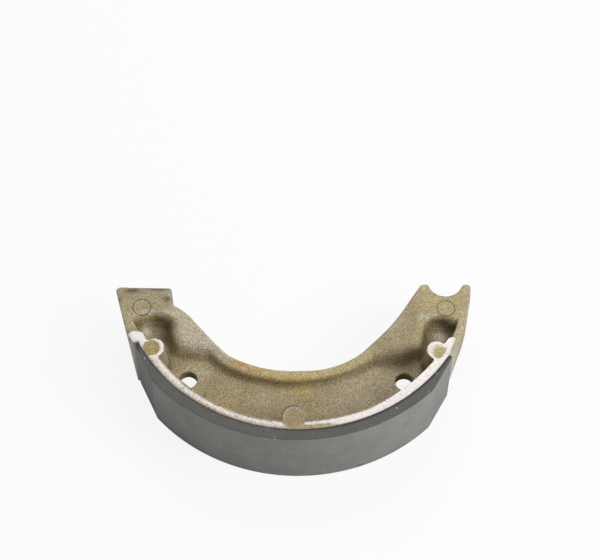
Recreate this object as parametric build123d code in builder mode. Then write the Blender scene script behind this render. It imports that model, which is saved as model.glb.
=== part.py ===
"""Drum brake shoe: one aluminium die casting with a friction lining bonded to its table.

Frame: millimetres, origin on the drum axis at the lower edge of the table, X from the
cam end to the anchor end, the lining towards -Y, +Z up.
"""

from build123d import *
from math import asin, atan2, cos, degrees, radians, sin, tan
import os

os.makedirs("parts", exist_ok=True)

# Brake size
drum_radius = 65.0
shoe_width = 28.0
drum_clearance = 0.2
lining_thickness = 3.8
bond_thickness = 0.15
lining_radius = drum_radius - drum_clearance
bond_radius = lining_radius - lining_thickness
table_radius = bond_radius - bond_thickness

# Section of the casting, every level centred on the middle of the width
table_thickness = 3.2
web_thickness = 4.5
bead_thickness = 10.5
bead_width = 3.3
end_thickness = 15.4
table_inner_radius = table_radius - table_thickness

# Angles round the drum axis, from the anchor end (0) to the cam end (180)
lining_start = 31.6
lining_end = 151.0
chamfer_start = 44.3
chamfer_end = 137.4
lining_tip = 1.2
table_start = 30.0
table_end = 152.3


def placed(inset, angle):
    """Point of the plan by its distance inside the table's outer face and its angle."""
    radius = table_radius - inset
    return (radius * cos(radians(angle)), radius * sin(radians(angle)))


# Inner edge: the waist is one arc, and corners rounded by large radii lead to both ends
waist_center = (-1.9, -8.1)
waist_radius = table_radius - 17.75
waist_start = 68.0
waist_end = 111.0
cam_edge_points = [placed(20.0, 162.2), placed(23.2, 127.4)]
cam_edge_rounds = [19.0, 16.0]
anchor_edge_points = [placed(25.2, 55.1), placed(23.8, 24.9)]
anchor_edge_rounds = [24.0, 60.0]

# Cam end
cam_face_y = 4.0
cam_pad_outer_x = -(table_radius + 2.95)
cam_pad_inner_x, cam_pad_inner_y = placed(16.0, 166.6)
cam_outer_round = 1.8
cam_inner_round = 1.3
cam_side_foot = placed(-2.4, 154.5)
cam_side_draft = 2.2
relief_width = 1.7
relief_overlap = 0.6
relief_start_y = cam_pad_inner_y - 4.8
relief_end_y = cam_pad_inner_y + 1.2
relief_depth = 3.5

# Anchor end
pin_center = (table_radius - 9.4, -0.95)
pin_radius = 6.0
pin_clearance = 0.05
recess_radius = 6.7
recess_depth = 8.0
horn_y = 0.3
inner_horn_x = pin_center[0] - 8.3
inner_horn_round = 1.3
outer_horn_round = 1.4
anchor_side_radius = table_radius - 0.55
anchor_side_start = table_start - 1.5
anchor_side_end = degrees(asin(horn_y / anchor_side_radius))

# Angles at which the pockets between table and ends begin, at the cam end and the anchor end
upper_pocket_angle = {-1: 15.7, 1: 14.4}
lower_pocket_angle = {-1: 14.1, 1: 13.4}
pocket_corner = 2.4

# Ramps from the edge of the table down to the ends: angles of their start and foot
upper_ramps = {-1: (24.7, 21.4), 1: (25.1, 21.6)}
lower_ramps = {-1: (25.5, 15.7), 1: (26.3, 20.2)}

# Shoulders on the upper side, from the pockets to the bead
shoulder_round = 2.5
upper_cam_shoulder = [
    placed(17.4, 173.4),
    placed(12.8, 153.4),
    placed(12.1, 146.9),
    placed(21.0, 135.7),
    placed(21.3, 122.9),
    placed(38.5, 116.6),
]
upper_anchor_shoulder = [
    placed(12.9, 0.0),
    placed(12.9, 23.4),
    placed(11.1, 30.7),
    placed(15.8, 37.8),
    placed(21.6, 47.5),
    placed(22.9, 61.7),
    placed(37.5, 59.0),
]

# Shoulders on the lower side, ending in the ridges beside the pockets
lower_cam_shoulder = [
    placed(12.7, 170.4),
    placed(11.3, 158.7),
    placed(8.9, 150.0),
    placed(4.0, 145.0),
    placed(6.5, 143.2),
    placed(12.0, 144.0),
    placed(20.4, 134.8),
    placed(20.1, 122.7),
    placed(38.5, 116.6),
]
lower_cam_rounds = [0.5, 4.0, 4.0, 1.4, 1.4, 4.0, 5.0, 0.5, 0.5]
lower_anchor_shoulder = [
    placed(11.7, 9.4),
    placed(10.9, 24.2),
    placed(11.8, 32.3),
    placed(18.2, 42.3),
    placed(21.2, 47.5),
    placed(21.0, 59.1),
    placed(38.5, 63.4),
]
lower_anchor_rounds = [0.5, 6.0, 4.0, 4.0, 2.0, 0.5, 0.5]

# Where the shoulders leave the level of the ends and reach the level of the bead
shoulder_high_x = table_radius - 17.35
shoulder_low_x = table_radius - 36.85

# Hollows in the lower side of the two shoulders: depth of the floor, outer corner, side
hollow_floor = 9.6
hollow_length = 24.0
hollow_taper = 14.0
hollow_corner = 2.5
hollow_fillet = 2.5
hollows = [(placed(14.6, 153.3), 1), (placed(16.8, 26.7), -1)]

# Bosses and rib
bosses = [(placed(5.1, 90.0), 4.0), (placed(3.7, 147.0), 3.55), (placed(4.4, 32.1), 3.5)]
boss_taper = 4.0
rib_x = 0.9
rib_tip_y = table_radius - 9.65
rib_width = 4.8
rib_length = 4.2
rib_taper = 11.5

# Spring holes and ejector pin marks
spring_hole_radius = 3.15
spring_holes = [placed(8.7, 134.8), placed(8.9, 44.1)]
disc_marks = [(placed(5.1, 90.0), 3.6), (placed(2.9, 147.1), 2.8), (placed(3.5, 32.3), 2.8)]
ring_marks = [placed(5.8, 167.6), placed(8.35, 11.0)]
ring_radius = 3.25
ring_width = 0.35
mark_depth = 0.25

# The plan: x along the shoe, y outwards to the lining, depth down from the upper edge
plan = Plane(origin=(0, 0, shoe_width), x_dir=(1, 0, 0), z_dir=(0, 0, -1))
mid = shoe_width / 2
upper_end = mid - end_thickness / 2
lower_end = mid + end_thickness / 2
upper_web = mid - web_thickness / 2
reach = 2 * drum_radius


def polar(radius, angle):
    """Point of the plan at this radius and angle round the drum axis."""
    return (radius * cos(radians(angle)), radius * sin(radians(angle)))


def waist_point(angle):
    """Point of the waist arc at this angle about its own centre."""
    return (
        waist_center[0] + waist_radius * cos(radians(angle)),
        waist_center[1] + waist_radius * sin(radians(angle)),
    )


def rounded_outline(points, rounds):
    """Edges of a closed outline with rounded corners."""
    with BuildLine() as outline:
        FilletPolyline(*points, points[0], radius=rounds)
    return outline.edges()


# Inner edge of the casting, from the cam pad over the waist to the inner horn
with BuildLine() as inner_edge:
    FilletPolyline(
        (cam_pad_inner_x, cam_pad_inner_y),
        *cam_edge_points,
        waist_point(waist_end),
        radius=cam_edge_rounds,
    )
    CenterArc(waist_center, waist_radius, waist_start, waist_end - waist_start)
    FilletPolyline(
        waist_point(waist_start),
        *anchor_edge_points,
        (inner_horn_x, horn_y),
        radius=anchor_edge_rounds,
    )

# Whole plan of the casting
with BuildSketch() as body_plan:
    with BuildLine():
        add(inner_edge.line)
        Polyline(
            (cam_pad_inner_x, cam_pad_inner_y),
            (cam_pad_inner_x, cam_face_y),
            (cam_pad_outer_x, cam_face_y),
            cam_side_foot,
            polar(table_radius, table_end),
        )
        CenterArc((0, 0), table_radius, table_start, table_end - table_start)
        Line(polar(table_radius, table_start), polar(anchor_side_radius, anchor_side_start))
        CenterArc(
            (0, 0), anchor_side_radius, anchor_side_end, anchor_side_start - anchor_side_end
        )
        Line(polar(anchor_side_radius, anchor_side_end), (inner_horn_x, horn_y))
    make_face()
    with Locations(pin_center):
        Circle(pin_radius + pin_clearance, mode=Mode.SUBTRACT)
    horn_corners = body_plan.vertices().group_by(Axis.Y)[0].sort_by(Axis.X)
    fillet(horn_corners[:2], inner_horn_round)
    horn_corners = body_plan.vertices().group_by(Axis.Y)[0].sort_by(Axis.X)
    fillet(horn_corners[2:], outer_horn_round)
    for pad_x, pad_round in (
        (cam_pad_outer_x, cam_outer_round),
        (cam_pad_inner_x, cam_inner_round),
    ):
        fillet(body_plan.vertices().sort_by_distance((pad_x, cam_face_y))[0], pad_round)

with BuildSketch() as upper_shoulders:
    make_face(rounded_outline(upper_cam_shoulder, shoulder_round))
    make_face(rounded_outline(upper_anchor_shoulder, shoulder_round))

with BuildSketch() as lower_shoulders:
    make_face(rounded_outline(lower_cam_shoulder, lower_cam_rounds))
    make_face(rounded_outline(lower_anchor_shoulder, lower_anchor_rounds))

# Cores of the hollows, wider towards the lower side
with BuildPart() as hollow_cores:
    for (corner_x, corner_y), side in hollows:
        with BuildSketch(plan.offset(hollow_floor)) as hollow:
            with Locations((corner_x + side * hollow_length / 2, corner_y)):
                Rectangle(hollow_length, 2 * hollow_length, align=(Align.CENTER, Align.MAX))
            fillet(hollow.vertices().group_by(Axis.Y)[-1], hollow_corner)
        extrude(amount=shoe_width, taper=-hollow_taper)
    fillet(hollow_cores.faces().group_by(Axis.Z)[-1].edges(), hollow_fillet)

# Bosses on the upper side, wider towards the web
with BuildPart() as boss_cores:
    for center, radius in bosses:
        with BuildSketch(plan):
            with Locations(center):
                Circle(radius)
        extrude(amount=mid, taper=-boss_taper)
    with BuildSketch(plan):
        add(body_plan.sketch)
    extrude(amount=mid, mode=Mode.INTERSECT)

# The casting
with BuildPart() as shoe_casting:
    # Both ends and their shoulders, first above the middle, then below it
    for shoulders, pocket_angle, side in (
        (upper_shoulders, upper_pocket_angle, -1),
        (lower_shoulders, lower_pocket_angle, 1),
    ):
        pocket_y = {
            half: table_inner_radius * sin(radians(angle)) for half, angle in pocket_angle.items()
        }
        with BuildSketch(plan.offset(mid)) as ends:
            add(body_plan.sketch)
            Circle(table_inner_radius, mode=Mode.SUBTRACT)
            for half in (-1, 1):
                with Locations((half * reach / 2, pocket_y[half])):
                    Rectangle(reach, reach, align=(Align.CENTER, Align.MAX))
            add(shoulders.sketch)
            add(body_plan.sketch, mode=Mode.INTERSECT)
            for half in (-1, 1):
                corners = ends.vertices().filter_by(lambda v: abs(v.Y - pocket_y[half]) < 0.01)
                fillet(corners.filter_by(lambda v: half * v.X > 0), pocket_corner)
        extrude(amount=side * end_thickness / 2)

    # The shoulders fall from the level of the ends to the level of the bead
    with BuildSketch(Plane.XZ):
        for side in (-1, 1):
            end_level = mid + side * end_thickness / 2
            bead_level = mid + side * bead_thickness / 2
            with BuildLine():
                Polyline(
                    (-shoulder_high_x, end_level),
                    (-shoulder_low_x, bead_level),
                    (shoulder_low_x, bead_level),
                    (shoulder_high_x, end_level),
                    (shoulder_high_x, mid + side * shoe_width),
                    (-shoulder_high_x, mid + side * shoe_width),
                    close=True,
                )
            make_face()
    extrude(amount=reach, both=True, mode=Mode.SUBTRACT)

    # Web over the whole plan
    with BuildSketch(plan.offset(upper_web)):
        add(body_plan.sketch)
    extrude(amount=web_thickness)

    # Bead along the inner edge
    with BuildSketch(plan.offset(mid - bead_thickness / 2)):
        trace(inner_edge.line, 2 * bead_width)
        add(body_plan.sketch, mode=Mode.INTERSECT)
    extrude(amount=bead_thickness)

    # Hollows under the shoulders, open to the inner edge
    add(hollow_cores.part, mode=Mode.SUBTRACT)

    # Cam pad, a plain block across the end
    with BuildSketch(plan.offset(upper_end)):
        with Locations((cam_pad_inner_x, cam_pad_inner_y)):
            Rectangle(reach, reach, align=(Align.MAX, Align.MAX))
        add(body_plan.sketch, mode=Mode.INTERSECT)
    extrude(amount=end_thickness)

    # Table: everything outside its inner radius, at full width
    with BuildSketch(plan):
        add(body_plan.sketch)
        Circle(table_inner_radius, mode=Mode.SUBTRACT)
    extrude(amount=shoe_width)

    # Ramps at the four ends of the table's edges
    for side, ramps in ((1, upper_ramps), (-1, lower_ramps)):
        end_level = mid + side * end_thickness / 2
        edge_level = mid + side * shoe_width / 2
        for half, (start_angle, foot_angle) in ramps.items():
            start_y = table_radius * sin(radians(start_angle))
            foot_y = table_radius * sin(radians(foot_angle))
            with BuildSketch(Plane.YZ):
                with BuildLine():
                    Polyline(
                        (-start_y, edge_level),
                        (-foot_y, end_level),
                        (reach, end_level),
                        (reach, edge_level + side),
                        (-start_y, edge_level + side),
                        close=True,
                    )
                make_face()
            extrude(amount=half * reach, mode=Mode.SUBTRACT)

    # Bosses, machined level with the edge of the table
    add(boss_cores.part)

    # Rib on the lower side
    with BuildSketch(plan.offset(shoe_width)):
        with Locations((rib_x, rib_tip_y + rib_width / 2)):
            Rectangle(rib_width, rib_length, align=(Align.CENTER, Align.MIN))
            Circle(rib_width / 2)
    extrude(amount=-(mid - web_thickness / 4), taper=-rib_taper)

    # Draft of the cam end's outer side
    side_run = degrees(
        atan2(cam_side_foot[1] - cam_face_y, cam_side_foot[0] - cam_pad_outer_x)
    )
    side_plane = Plane(
        origin=(cam_pad_outer_x, -cam_face_y, shoe_width),
        x_dir=(cos(radians(side_run - 90)), -sin(radians(side_run - 90)), 0),
        z_dir=(cos(radians(side_run)), -sin(radians(side_run)), 0),
    )
    with BuildSketch(side_plane):
        with BuildLine():
            Polyline(
                (0, 0),
                (shoe_width * tan(radians(cam_side_draft)), -shoe_width),
                (-lining_thickness, -shoe_width),
                (-lining_thickness, 0),
                close=True,
            )
        make_face()
    extrude(amount=reach, mode=Mode.SUBTRACT)

    # Relief beside the cam pad, on the lower side
    with BuildSketch(plan.offset(lower_end - relief_depth)):
        with BuildLine():
            Polyline(
                (cam_pad_inner_x + relief_overlap, relief_start_y),
                (cam_pad_inner_x - relief_width, cam_pad_inner_y),
                (cam_pad_inner_x + relief_overlap, relief_end_y),
                close=True,
            )
        make_face()
    extrude(amount=relief_depth, mode=Mode.SUBTRACT)

    # Wider mouth of the anchor pin notch, on the lower side
    with BuildSketch(plan.offset(lower_end - recess_depth)):
        with Locations(pin_center):
            Circle(recess_radius)
    extrude(amount=recess_depth, mode=Mode.SUBTRACT)

    # Holes for the return springs
    with BuildSketch(plan):
        with Locations(*spring_holes):
            Circle(spring_hole_radius)
    extrude(amount=shoe_width, mode=Mode.SUBTRACT)

    # Discs left by ejector pins on the bosses
    with BuildSketch(plan):
        for center, radius in disc_marks:
            with Locations(center):
                Circle(radius)
    extrude(amount=mark_depth, mode=Mode.SUBTRACT)

    # Rings left by ejector pins on the ends
    with BuildSketch(plan.offset(upper_end)):
        with Locations(*ring_marks):
            Circle(ring_radius)
            Circle(ring_radius - ring_width, mode=Mode.SUBTRACT)
    extrude(amount=mark_depth, mode=Mode.SUBTRACT)

# Friction lining, with its two ends chamfered down to thin tips
tip_radius = bond_radius + lining_tip
with BuildPart() as friction_lining:
    with BuildSketch(plan):
        with BuildLine():
            CenterArc((0, 0), lining_radius, chamfer_start, chamfer_end - chamfer_start)
            Polyline(
                polar(lining_radius, chamfer_end),
                polar(tip_radius, lining_end),
                polar(bond_radius, lining_end),
            )
            CenterArc((0, 0), bond_radius, lining_start, lining_end - lining_start)
            Polyline(
                polar(bond_radius, lining_start),
                polar(tip_radius, lining_start),
                polar(lining_radius, chamfer_start),
            )
        make_face()
    extrude(amount=shoe_width)

# Adhesive film between the lining and the table
with BuildPart() as bond_film:
    with BuildSketch(plan):
        with BuildLine():
            CenterArc((0, 0), bond_radius, lining_start, lining_end - lining_start)
            Line(polar(bond_radius, lining_end), polar(table_radius, lining_end))
            CenterArc((0, 0), table_radius, lining_start, lining_end - lining_start)
            Line(polar(table_radius, lining_start), polar(bond_radius, lining_start))
        make_face()
    extrude(amount=shoe_width)

shoe_casting.part.label = "shoe_casting"
friction_lining.part.label = "friction_lining"
bond_film.part.label = "bond_film"
export_step(shoe_casting.part, "parts/shoe_casting.step")
export_step(friction_lining.part, "parts/friction_lining.step")
export_step(bond_film.part, "parts/bond_film.step")
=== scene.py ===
# %% [markdown]
# A drum brake shoe is a curved casting with a block of friction material bonded round its outside. This
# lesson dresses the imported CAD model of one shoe. The plain casting gives way to a finer one with the
# soft corners of a real die casting, and the lining and the glue line get surfaces and finishes of their
# own. Such a part could be sculpted, or rounded with bevels. Here numpy works out each surface, so every
# fillet has a radius that can be read and changed.

import bpy
import numpy as np
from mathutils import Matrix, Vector


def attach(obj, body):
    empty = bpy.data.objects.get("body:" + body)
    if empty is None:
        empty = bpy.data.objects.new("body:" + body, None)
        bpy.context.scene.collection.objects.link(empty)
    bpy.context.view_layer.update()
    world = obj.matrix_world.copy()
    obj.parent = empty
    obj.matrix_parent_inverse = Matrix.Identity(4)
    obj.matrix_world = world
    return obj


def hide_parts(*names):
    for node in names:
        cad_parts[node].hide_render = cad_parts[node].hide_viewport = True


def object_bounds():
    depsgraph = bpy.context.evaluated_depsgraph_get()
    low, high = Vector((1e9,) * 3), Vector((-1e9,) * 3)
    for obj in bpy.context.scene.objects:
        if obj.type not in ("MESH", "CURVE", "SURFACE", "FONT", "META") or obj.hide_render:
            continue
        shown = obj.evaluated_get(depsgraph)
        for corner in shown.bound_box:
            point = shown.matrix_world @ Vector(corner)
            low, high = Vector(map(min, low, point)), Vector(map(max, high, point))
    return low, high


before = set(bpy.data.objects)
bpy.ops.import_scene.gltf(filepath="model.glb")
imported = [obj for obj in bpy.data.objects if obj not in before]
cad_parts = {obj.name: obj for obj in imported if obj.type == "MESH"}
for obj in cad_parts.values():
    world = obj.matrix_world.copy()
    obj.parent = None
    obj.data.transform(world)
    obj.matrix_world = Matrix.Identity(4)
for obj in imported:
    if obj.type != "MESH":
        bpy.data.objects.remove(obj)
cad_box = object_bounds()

mm = 0.001
print("CAD box in mm", [[round(value / mm, 2) for value in corner] for corner in cad_box])

# %% [markdown]
# The sizes are those of the CAD model, in millimetres. x runs along the shoe and y from the drum axis out
# to the lining. Heights are counted as depth below the upper edge, because a die casting leaves its mould
# in two halves, and both halves are then described from the same middle plane. In the model's own frame a
# point is x, -y and width minus depth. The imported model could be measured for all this, but written out,
# the sizes can be read beside the formulas that use them.

# %% Sizes of the shoe
width = 28.0
mid = width / 2
lining_radius = 64.8
bond_radius = 61.0
table_radius = 60.85
table_inner = 57.65
web_half = 2.25
bead_half = 5.25
end_half = 7.7
bead_width = 3.3
upper_end = mid - end_half
lower_end = mid + end_half


def polar(radius, angle):
    """Point at this radius and angle in degrees from the drum axis."""
    return (radius * np.cos(np.radians(angle)), radius * np.sin(np.radians(angle)))


def placed(inset, angle):
    """Point by its distance inside the table's outer face and its angle."""
    return polar(table_radius - inset, angle)


print("table from", table_inner, "to", table_radius, "mm round the drum axis")

# %% [markdown]
# An outline is a list of corners, each turned by an arc. Blender's bevel could round them one by one.
# numpy does all corners at once: in a corner whose two sides enclose the angle 2h, an arc of radius r
# starts r / tan(h) along each side, and its centre lies r / sin(h) along the line that halves the corner.

# %% Outlines with rounded corners


def unit(vectors):
    """The same vectors, one unit long."""
    return vectors / np.maximum(np.linalg.norm(vectors, axis=-1, keepdims=True), 1e-9)


def rounded(corners, radii, steps=10):
    """Closed outline: centre = p + bisector r / sin(h), arc from p + u r / tan(h) to p + v r / tan(h)."""
    p = np.array(corners, dtype=float)
    r = np.broadcast_to(np.array(radii, dtype=float), len(p))[:, None]
    u = unit(np.roll(p, 1, axis=0) - p)
    v = unit(np.roll(p, -1, axis=0) - p)
    h = np.arccos(np.clip((u * v).sum(axis=1), -1, 1))[:, None] / 2
    center = p + unit(u + v) * r / np.sin(h)
    start = p + u * r / np.tan(h) - center
    end = p + v * r / np.tan(h) - center
    first = np.arctan2(start[:, 1], start[:, 0])
    turn = (np.arctan2(end[:, 1], end[:, 0]) - first + np.pi) % (2 * np.pi) - np.pi
    angle = first[:, None] + turn[:, None] * np.linspace(0, 1, steps)
    arc = np.stack([np.cos(angle), np.sin(angle)], axis=-1)
    return (center[:, None] + r[:, None] * arc).reshape(-1, 2)


def arc_points(center, radius, start, end, count):
    """Points on an arc, angles in degrees."""
    angle = np.radians(np.linspace(start, end, count))
    return np.stack([center[0] + radius * np.cos(angle), center[1] + radius * np.sin(angle)], axis=-1)


print("points of a rounded square", len(rounded([(0, 0), (4, 0), (4, 4), (0, 4)], 1.0)))

# %% [markdown]
# The inner edge is the curve that the cam pad, the waist and the anchor end share. The waist is one arc,
# and the runs beside it are corners with large radii. The plan closes that curve round the anchor end,
# the table and the cam pad. A hand-drawn curve could do the same, but arcs stay smooth when a size is
# changed.

# %% Plan of the casting
waist = arc_points((-1.9, -8.1), table_radius - 17.75, 111.0, 68.0, 40)
pad_corner = placed(16.0, 166.6)
cam_run = rounded([pad_corner, placed(20.0, 162.2), placed(23.2, 127.4), waist[0]], [0, 19, 16, 0])[:-9]
pin_center = (table_radius - 9.4, -0.95)
horn = (pin_center[0] - 8.3, 0.3)
anchor_run = rounded([waist[-1], placed(25.2, 55.1), placed(23.8, 24.9), horn], [0, 24, 60, 0])[9:]
inner_edge = np.concatenate([cam_run, waist, anchor_run])
past_horn = anchor_run[-1:] + 3.0 * unit(anchor_run[-1:] - anchor_run[-2:-1])

side_top = (-table_radius - 2.95, 4.0)
side_foot = placed(-2.4, 154.5)
pad = rounded([side_foot, side_top, (pad_corner[0], 4.0), pad_corner], [0, 1.8, 1.3, 0])
anchor_side = arc_points((0, 0), table_radius - 0.55, -3.0, 28.5, 34)
table_arc = arc_points((0, 0), table_radius, 30.0, 151.6, 240)
table_tip = np.array([(-54.4, 29.3), (-55.7, 29.2), (-56.7, 27.6)])
plan = np.concatenate([inner_edge, past_horn, anchor_side, table_arc, table_tip, pad[9:-10]])
print("points of the plan", len(plan), "and of the inner edge", len(inner_edge))

# %% [markdown]
# Two shoulders carry the load from the bead into the ends. On the upper side they fall off softly into
# the pockets. On the lower side they end in thin ridges beside the pockets. Both could be drawn by hand
# as curves. A list of corners with their radii says the same with fewer numbers.

# %% Shoulders on the two sides
upper_cam_shoulder = rounded(
    [
        placed(17.4, 173.4),
        placed(12.8, 153.4),
        placed(12.1, 146.9),
        placed(21.0, 135.7),
        placed(21.3, 122.9),
        placed(38.5, 116.6),
    ],
    2.8,
)
upper_anchor_shoulder = rounded(
    [
        placed(12.9, 0.0),
        placed(12.9, 23.4),
        placed(11.1, 30.7),
        placed(15.8, 37.8),
        placed(21.6, 47.5),
        placed(22.9, 61.7),
        placed(37.5, 59.0),
    ],
    2.8,
)
lower_cam_shoulder = rounded(
    [
        placed(12.7, 170.4),
        placed(11.3, 158.7),
        placed(8.9, 150.0),
        placed(4.0, 145.0),
        placed(6.5, 143.2),
        placed(12.0, 144.0),
        placed(20.4, 134.8),
        placed(20.1, 122.7),
        placed(38.5, 116.6),
    ],
    [0.5, 4, 4, 1.4, 1.4, 4, 5, 0.5, 0.5],
)
lower_anchor_shoulder = rounded(
    [
        placed(11.7, 9.4),
        placed(10.9, 24.2),
        placed(11.8, 32.3),
        placed(18.2, 42.3),
        placed(21.2, 47.5),
        placed(21.0, 59.1),
        placed(38.5, 63.4),
    ],
    [0.5, 6, 4, 4, 2, 0.5, 0.5],
)
print("upper cam shoulder reaches y", round(float(upper_cam_shoulder[:, 1].max()), 1))

# %% [markdown]
# Pockets, ridges, bosses and the bead run into each other with fillets, so no single grid of two
# parameters follows the casting. Its surface is worked out another way, as all points where a distance is
# zero. The distance is computed on a regular block of points and is negative in the metal. It starts from
# flat distances to the outlines above, on the grid of the plan, whose places are gx and gy.

# %% The block of points
step = 0.46
x = np.arange(-64.6, 61.6, step, dtype=np.float32)
y = np.arange(-1.2, 62.2, step, dtype=np.float32)
depth = np.concatenate([np.linspace(-0.8, 13.9, 29), np.linspace(14.1, 28.8, 29)]).astype(np.float32)
gx, gy = np.meshgrid(x, y, indexing="ij")
print("block of points", len(x), len(y), len(depth))


def outline_distance(outline):
    """Distance to a closed outline, negative inside, at every point of the plan's grid.

    The nearest point of a side a + t (b - a) has t = (p - a).(b - a) / |b - a|^2, kept within 0 and 1.
    A point is inside where a ray from it crosses the outline an odd number of times.
    """
    a = np.array(outline, dtype=np.float32)
    edge = np.roll(a, -1, axis=0) - a
    px = gx[..., None] - a[:, 0]
    py = gy[..., None] - a[:, 1]
    t = (px * edge[:, 0] + py * edge[:, 1]) / np.maximum((edge**2).sum(axis=1), 1e-9)
    t = np.clip(t, 0, 1)
    distance = np.sqrt(((px - t * edge[:, 0]) ** 2 + (py - t * edge[:, 1]) ** 2).min(axis=-1))
    rise = np.where(edge[:, 1] == 0, 1e-9, edge[:, 1])
    crosses = (py < 0) != (py < edge[:, 1])
    inside = (crosses & (px < py * edge[:, 0] / rise)).sum(axis=-1) % 2 == 1
    return np.where(inside, -distance, distance)


def curve_distance(curve):
    """Distance to an open curve, which is a closed outline that runs there and back."""
    return np.abs(outline_distance(np.concatenate([curve, curve[-2:0:-1]])))


def point_distance(center):
    """Distance to one point at every point of the plan's grid."""
    return np.hypot(gx - center[0], gy - center[1])


# %% [markdown]
# Where two shapes meet, one formula puts a fillet into the corner and its mirror image rounds an edge.
# Both are the old trick of measuring the distance to a circle of radius r that touches the two walls. A
# bevel does this on a finished mesh, but it breaks where three fillets meet. Distances let them melt into
# each other.

# %% Fillets and rounds


def joined(a, b, r):
    """Union of two shapes with a fillet r in the corner between them."""
    return np.maximum(r, np.minimum(a, b)) - np.hypot(np.maximum(r - a, 0), np.maximum(r - b, 0))


def common(a, b, r):
    """What two shapes have in common, with the edge between them rounded by r."""
    return np.minimum(-r, np.maximum(a, b)) + np.hypot(np.maximum(r + a, 0), np.maximum(r + b, 0))


def cut(shape, tool, r):
    """The shape without the tool, with the new edge rounded by r."""
    return common(shape, -tool, r)


def smooth(value, low, high):
    """0 below low, 1 above high and a smooth S between: 3 t^2 - 2 t^3."""
    t = np.clip((value - low) / (high - low), 0, 1)
    return t * t * (3 - 2 * t)


print("a fillet of 1 mm fills a square corner by", round(-float(joined(0.0, 0.0, 1.0)), 2), "mm")

# %% [markdown]
# Seen from above, the metal has a few raised areas: the ends, the shoulders, the bead and the table. The
# upper pockets have arched rims, the lower ones straight rims. The ends, shoulders and table share
# rounded corners. All this is flat, so it is worked out once on the grid of the plan and not at every
# depth.

# %% Flat distances
radius = np.hypot(gx, gy)
cam_half = gx < 0
table_flat = table_inner + 1.4 * cam_half * (1 - smooth(gy, 16.0, 25.0)) - radius
edge_distance = curve_distance(inner_edge)
plan_distance = outline_distance(plan)
rim_middle = np.where(cam_half, -49.0, 49.5)
arch = np.minimum(np.hypot(0.55 * (gx - rim_middle), 1.0) - 1.0, 4.0)
upper_ends = (gy - np.where(cam_half, 14.0, 13.7) - arch) * 0.9
lower_ends = gy - np.where(cam_half, 14.0, 13.4)
upper_shoulders = np.minimum(outline_distance(upper_cam_shoulder), outline_distance(upper_anchor_shoulder))
lower_shoulders = np.minimum(outline_distance(lower_cam_shoulder), outline_distance(lower_anchor_shoulder))
upper_raised = joined(joined(upper_ends, upper_shoulders, 2.2), table_flat, 0.9)
lower_raised = joined(joined(lower_ends, lower_shoulders, 1.0), table_flat, 2.4)
shoulder_half = np.interp(np.abs(gx), (24.0, 43.5), (bead_half, end_half)).astype(np.float32)
middle_zone = 1 - smooth(np.abs(gx), 8.0, 24.0)
print("plan grid", gx.shape)

# %% [markdown]
# A casting leaves its mould because every wall leans by a degree or more. A raised area is what its
# leaning wall and its flat top have in common. One side of the casting is the union of its raised areas
# with the web. A bevel has one width for an edge. Here a radius may differ at every point of the plan,
# because the real shoulders are soft towards the ends and crisper in the middle.

# %% Raised areas on both sides


def raised(flat, half, height, lean, round_top):
    """Area inside flat = 0 up to half from the middle, with walls that lean by so many degrees."""
    wall = flat[..., None] - (half[..., None] - height) * np.tan(np.radians(lean))
    return common(wall, height - half[..., None], round_top)


def edge_half(starts, feet):
    """Height of the table's edge over the middle plane, falling from its start to its foot along y.

    The start bends into an arch across the table: y - 1.1 off^2, with off the place across it from -1 to 1.
    """
    off_center = (radius - np.where(cam_half, 60.0, 59.3)) / np.where(cam_half, 2.4, 1.7)
    bent = gy * np.where(cam_half, 1.0, 59.3 / radius) - 1.1 * np.clip(off_center, -1, 1) ** 2
    cam_side = np.interp(bent, (feet[0], starts[0]), (end_half, mid))
    anchor_half = np.interp(bent, (feet[1], starts[1]), (end_half, mid))
    return np.where(cam_half, cam_side, anchor_half).astype(np.float32)


def one_side(height, raised_flat, table_half, ridge_round, rim_round, foot_round):
    """Distance for one half of the casting; height is measured from its middle plane."""
    body = raised(raised_flat, shoulder_half, height, 4, ridge_round[..., None])
    bead_flat = edge_distance - bead_width + 0.2 * middle_zone
    bead = raised(bead_flat, np.full_like(gx, bead_half), height, 6, 1.3)
    body = joined(body, bead, 0.6)
    table = raised(table_flat, table_half, height, 1, rim_round[..., None])
    step_round = 0.02 + 2.2 * smooth(table_half - shoulder_half, 0.3, 3.0)
    body = joined(body, table, step_round[..., None])
    return joined(body, height - web_half, foot_round)


above = (mid - depth[depth < mid])[None, None, :]
below = (depth[depth > mid] - mid)[None, None, :]
upper_edge = edge_half((24.7, 25.0), (21.6, 22.0))
lower_edge = edge_half((26.2, 27.0), (16.5, 21.0))
upper_rim = np.where(gx < -4, 0.6, 0.22)
soft_zone = smooth(np.abs(gx), 20.0, 34.0) * smooth(gy - 1.2 * cam_half, 12.0, 16.5)
upper_ridge = 1.5 + 1.9 * soft_zone - 0.4 * middle_zone + 0.3 * (1 - smooth(gy, 16.0, 20.0))
upper_foot = (1.9 + 0.9 * soft_zone - 0.9 * middle_zone)[..., None]
upper = one_side(above, upper_raised, upper_edge, upper_ridge, upper_rim, upper_foot)
lower = one_side(below, lower_raised, lower_edge, np.full_like(gx, 1.2), np.full_like(gx, 0.35), 1.9)
print("upper and lower halves", upper.shape, lower.shape)

# %% [markdown]
# Three bosses rise to the level of the upper edge, as cones of four degrees, and beside the right one the
# table ends in a small round flat. On the lower side a tapered rib meets the table, with a round nose and
# steep sides. Cylinders joined with a boolean would leave hard seams, so each of them is one more
# distance with a fillet.

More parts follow.
